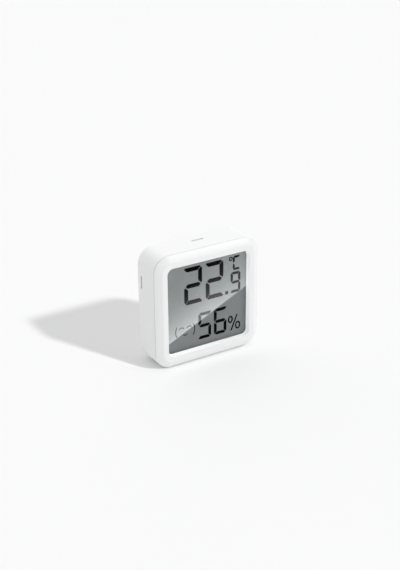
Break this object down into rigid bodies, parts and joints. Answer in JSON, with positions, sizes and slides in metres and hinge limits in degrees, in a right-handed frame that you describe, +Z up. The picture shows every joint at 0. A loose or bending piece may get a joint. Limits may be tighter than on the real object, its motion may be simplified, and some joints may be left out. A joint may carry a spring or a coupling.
{
  "type": "temperature humidity sensor",
  "caption": "Square white desktop temperature and humidity sensor with rounded corners, a recessed liquid crystal display, vent slots, a twist-off battery cover and a pairing button.",
  "frame": {"origin": "under the middle of the body, on the surface that it stands on", "axes": "+Z up, -Y out of the display, +X to the right as seen from the front"},
  "size_m": [0.055, 0.0176, 0.055],
  "materials": {
    "white_plastic": "fine satin moulding",
    "black_tape": "matt foam",
    "clear_window": "polished clear plastic",
    "polariser": "satin film",
    "display_glass": "polished",
    "reflector": "brushed film",
    "holder_plastic": "as moulded",
    "strip_rubber": "matt, with fine dark layers",
    "board_green": "satin solder mask",
    "plated_steel": "nickel plate",
    "shield_steel": "tin plate",
    "chip_black": "matt moulding compound",
    "capacitor_tan": "matt ceramic",
    "cell_steel": "polished stainless steel",
    "cell_filling": "pressed powder",
    "gasket_plastic": "as moulded"
  },
  "bodies": {
    "case": {"front_frame": "white_plastic", "window_tape": "black_tape", "display_window": "clear_window", "lcd_front_film": "polariser", "lcd_front_glass": "display_glass", "lcd_rear_glass": "display_glass", "lcd_reflector": "reflector", "lcd_holder": "holder_plastic", "contact_strip": "strip_rubber", "main_board": "board_green", "board_screws": "plated_steel", "radio_board": "board_green", "radio_shield": "shield_steel", "humidity_sensor": "chip_black", "display_driver": "chip_black", "crystal": "plated_steel", "capacitors": "capacitor_tan", "switch_body": "chip_black", "negative_contact": "plated_steel", "positive_contact": "plated_steel", "cell_can": "cell_steel", "cell_pellet": "cell_filling", "cell_gasket": "gasket_plastic", "cell_cap": "cell_steel", "rear_case": "white_plastic"},
    "cover": {"battery_cover": "white_plastic"},
    "button": {"pairing_button": "white_plastic", "switch_plunger": "chip_black"}
  },
  "joints": [
    {"name": "cover_turn", "type": "hinge", "parent": "case", "child": "cover", "pos_m": [0, 0.0088, 0.0255], "axis": [0, 1, 0], "range_deg": [0, 40]},
    {"name": "button_press", "type": "slide", "parent": "case", "child": "button", "axis": [0, -1, 0], "range_m": [0, 0.0003], "stiffness_N_per_m": 1500}
  ]
}
